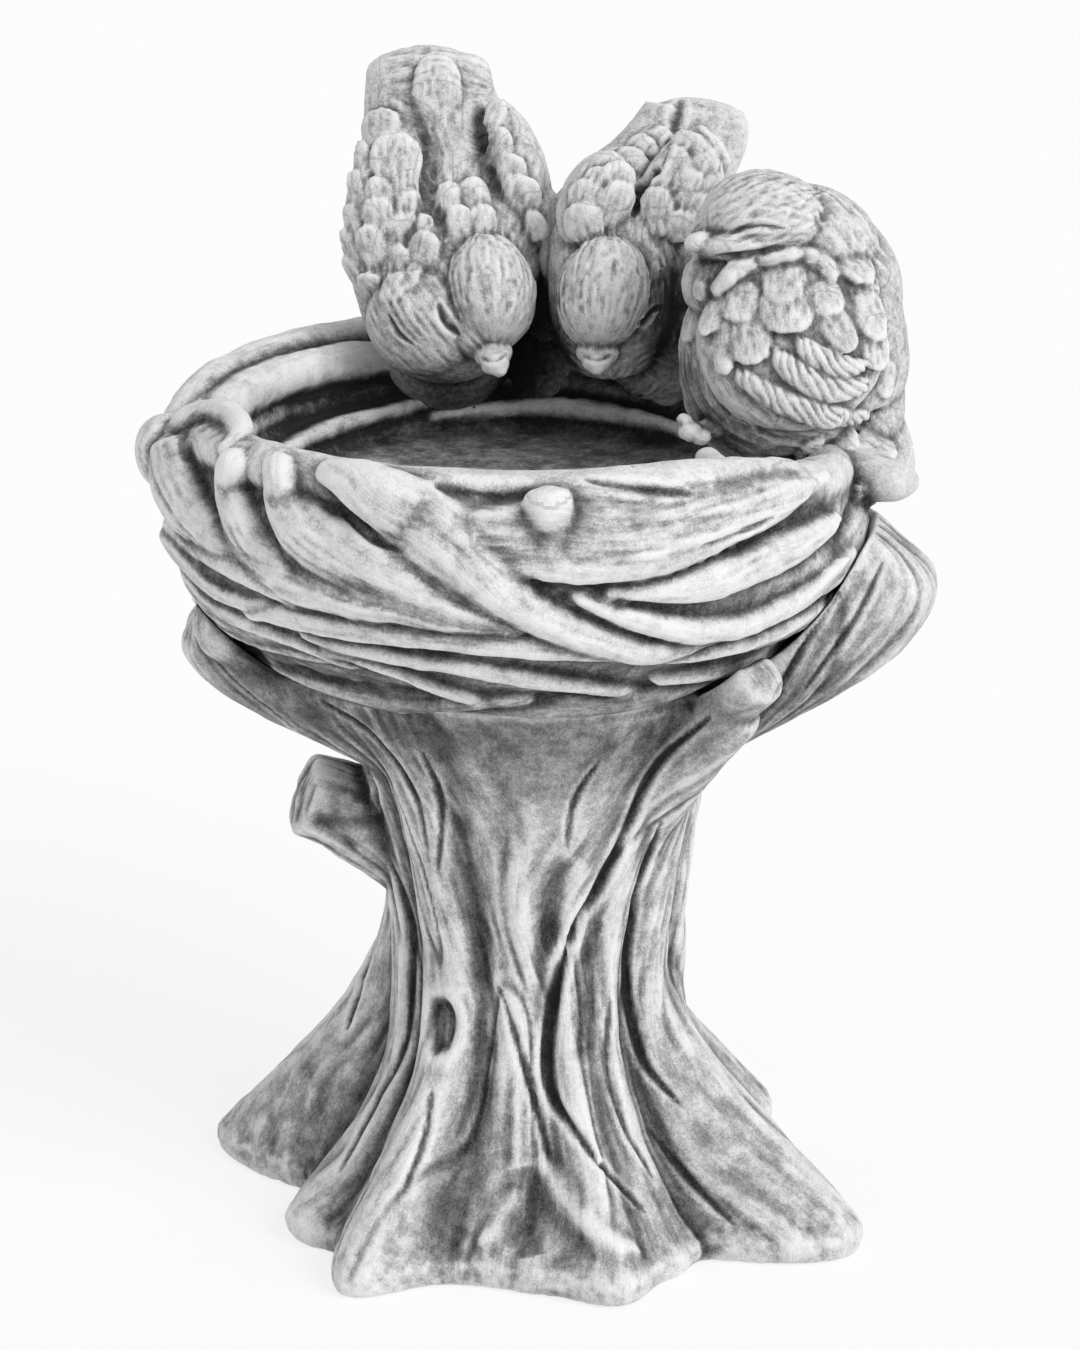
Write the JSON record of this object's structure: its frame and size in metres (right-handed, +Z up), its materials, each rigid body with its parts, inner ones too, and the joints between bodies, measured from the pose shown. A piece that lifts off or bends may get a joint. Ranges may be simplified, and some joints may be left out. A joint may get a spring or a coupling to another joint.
{
  "type": "birdbath",
  "caption": "Cast-stone birdbath: a rooted tree-stump pedestal carries a lift-off woven twig nest basin with small birds bending to drink at its rim.",
  "frame": {"origin": "on the ground plane, in the flat base face, under the axis of the tree stump", "axes": "+Z up, +Y away from the viewer who sees the drinking birds face on, +X to that viewer's right"},
  "size_m": [0.2994, 0.2732, 0.4302],
  "materials": {
    "trunk_stone": "weathered cast stone with dark antique wash in the bark",
    "nest_stone": "weathered cast stone with dark antique wash between the twigs",
    "bird_stone": "weathered cast stone with dark antique wash between the feathers",
    "mortar": "matt pointed mortar",
    "galvanised_steel": "dull zinc"
  },
  "bodies": {
    "pedestal": {"trunk_pedestal": "trunk_stone", "locating_dowel": "galvanised_steel", "trunk_reinforcing_bars": "galvanised_steel"},
    "nest": {"nest_basin": "nest_stone", "rim_reinforcing_ring": "galvanised_steel", "bird_left": "bird_stone", "bird_middle": "bird_stone", "bird_right": "bird_stone", "mortar_bed_left": "mortar", "mortar_bed_middle": "mortar", "mortar_bed_right": "mortar", "bird_left_pins": "galvanised_steel", "bird_middle_pins": "galvanised_steel", "bird_right_pins": "galvanised_steel"}
  },
  "joints": [
    {"name": "nest_lift", "type": "slide", "parent": "pedestal", "child": "nest", "axis": [0, 0, 1], "range_m": [0, 0.12]}
  ]
}
